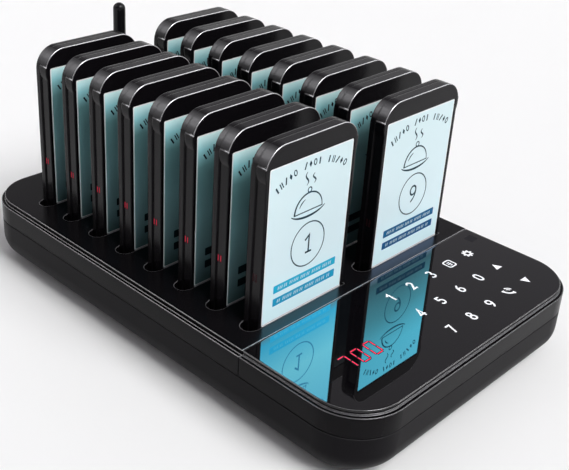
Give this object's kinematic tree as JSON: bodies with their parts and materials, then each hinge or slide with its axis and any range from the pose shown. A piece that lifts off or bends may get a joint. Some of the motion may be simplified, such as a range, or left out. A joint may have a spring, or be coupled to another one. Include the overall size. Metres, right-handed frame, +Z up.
{
  "type": "guest pager system",
  "caption": "Counter base with a flat touch panel, a red display, a folding antenna and two rows of lift-out pagers standing in charging slots.",
  "frame": {"origin": "on the counter, under the middle of the base's outline", "axes": "+Z up; +Y to the rear wall, away from the touch panel; +X to the right seen from the panel"},
  "size_m": [0.165, 0.2598, 0.126],
  "materials": {
    "base_plastic": "satin dark plastic with a fine grain",
    "deck_plastic": "smooth dark plastic with a soft shine",
    "smoked_panel": "polished smoked panel with printed white key symbols",
    "circuit_board": "green circuit board",
    "display_red": "red three-digit display",
    "shield_can": "plain tinned can",
    "black_plastic": "plain black plastic",
    "ribbon_plastic": "pale flat cable",
    "tray_plastic": "plain dark plastic",
    "contact_brass": "bright contact metal",
    "pin_steel": "ground",
    "antenna_plastic": "satin black plastic sleeve",
    "rocker_plastic": "glossy red plastic",
    "foot_rubber": "matt black rubber",
    "screw_steel": "zinc plated",
    "pager_plastic": "smooth dark plastic with a soft shine",
    "pager_face": "clear face over a pale printed card, lit from behind"
  },
  "bodies": {
    "base": {"lower_tub": "base_plastic", "deck_cover": "deck_plastic", "front_bezel": "deck_plastic", "touch_glass": "smoked_panel", "touch_board": "circuit_board", "led_display": "display_red", "main_board": "circuit_board", "radio_module": "shield_can", "buzzer": "black_plastic", "ribbon_cable": "ribbon_plastic", "slot_tray_left": "tray_plastic", "slot_tray_right": "tray_plastic", "charge_board_left": "circuit_board", "charge_board_right": "circuit_board", "charge_posts": "contact_brass", "antenna_socket": "black_plastic", "antenna_nut": "contact_brass", "antenna_pin": "pin_steel", "dc_jack": "black_plastic", "power_switch": "black_plastic", "rubber_feet": "foot_rubber", "cover_screws": "screw_steel", "board_screws": "screw_steel"},
    "antenna": {"antenna_whip": "antenna_plastic"},
    "rocker": {"power_rocker": "rocker_plastic"},
    "pager_01": {"pager_01_case": "pager_plastic", "pager_01_face": "pager_face"},
    "pager_02": {"pager_02_case": "pager_plastic", "pager_02_face": "pager_face"},
    "pager_03": {"pager_03_case": "pager_plastic", "pager_03_face": "pager_face"},
    "pager_04": {"pager_04_case": "pager_plastic", "pager_04_face": "pager_face"},
    "pager_05": {"pager_05_case": "pager_plastic", "pager_05_face": "pager_face"},
    "pager_06": {"pager_06_case": "pager_plastic", "pager_06_face": "pager_face"},
    "pager_07": {"pager_07_case": "pager_plastic", "pager_07_face": "pager_face"},
    "pager_08": {"pager_08_case": "pager_plastic", "pager_08_face": "pager_face"},
    "pager_09": {"pager_09_case": "pager_plastic", "pager_09_face": "pager_face"},
    "pager_10": {"pager_10_case": "pager_plastic", "pager_10_face": "pager_face"},
    "pager_11": {"pager_11_case": "pager_plastic", "pager_11_face": "pager_face"},
    "pager_12": {"pager_12_case": "pager_plastic", "pager_12_face": "pager_face"},
    "pager_13": {"pager_13_case": "pager_plastic", "pager_13_face": "pager_face"},
    "pager_14": {"pager_14_case": "pager_plastic", "pager_14_face": "pager_face"},
    "pager_15": {"pager_15_case": "pager_plastic", "pager_15_face": "pager_face"},
    "pager_16": {"pager_16_case": "pager_plastic", "pager_16_face": "pager_face"}
  },
  "joints": [
    {"name": "pager_01_lift", "type": "slide", "parent": "base", "child": "pager_01", "axis": [0, 0, 1], "range_m": [0, 0.11]},
    {"name": "pager_02_lift", "type": "slide", "parent": "base", "child": "pager_02", "axis": [0, 0, 1], "range_m": [0, 0.11]},
    {"name": "pager_03_lift", "type": "slide", "parent": "base", "child": "pager_03", "axis": [0, 0, 1], "range_m": [0, 0.11]},
    {"name": "pager_04_lift", "type": "slide", "parent": "base", "child": "pager_04", "axis": [0, 0, 1], "range_m": [0, 0.11]},
    {"name": "pager_05_lift", "type": "slide", "parent": "base", "child": "pager_05", "axis": [0, 0, 1], "range_m": [0, 0.11]},
    {"name": "pager_06_lift", "type": "slide", "parent": "base", "child": "pager_06", "axis": [0, 0, 1], "range_m": [0, 0.11]},
    {"name": "pager_07_lift", "type": "slide", "parent": "base", "child": "pager_07", "axis": [0, 0, 1], "range_m": [0, 0.11]},
    {"name": "pager_08_lift", "type": "slide", "parent": "base", "child": "pager_08", "axis": [0, 0, 1], "range_m": [0, 0.11]},
    {"name": "pager_09_lift", "type": "slide", "parent": "base", "child": "pager_09", "axis": [0, 0, 1], "range_m": [0, 0.11]},
    {"name": "pager_10_lift", "type": "slide", "parent": "base", "child": "pager_10", "axis": [0, 0, 1], "range_m": [0, 0.11]},
    {"name": "pager_11_lift", "type": "slide", "parent": "base", "child": "pager_11", "axis": [0, 0, 1], "range_m": [0, 0.11]},
    {"name": "pager_12_lift", "type": "slide", "parent": "base", "child": "pager_12", "axis": [0, 0, 1], "range_m": [0, 0.11]},
    {"name": "pager_13_lift", "type": "slide", "parent": "base", "child": "pager_13", "axis": [0, 0, 1], "range_m": [0, 0.11]},
    {"name": "pager_14_lift", "type": "slide", "parent": "base", "child": "pager_14", "axis": [0, 0, 1], "range_m": [0, 0.11]},
    {"name": "pager_15_lift", "type": "slide", "parent": "base", "child": "pager_15", "axis": [0, 0, 1], "range_m": [0, 0.11]},
    {"name": "pager_16_lift", "type": "slide", "parent": "base", "child": "pager_16", "axis": [0, 0, 1], "range_m": [0, 0.11]},
    {"name": "antenna_tilt", "type": "hinge", "parent": "base", "child": "antenna", "pos_m": [0, 0.11785, 0.045], "axis": [-1, 0, 0], "range_deg": [0, 90]},
    {"name": "power_rocker_tilt", "type": "hinge", "parent": "base", "child": "rocker", "pos_m": [-0.03, 0.12675, 0.0166], "axis": [0, 0, 1], "range_deg": [-14, 0]}
  ]
}
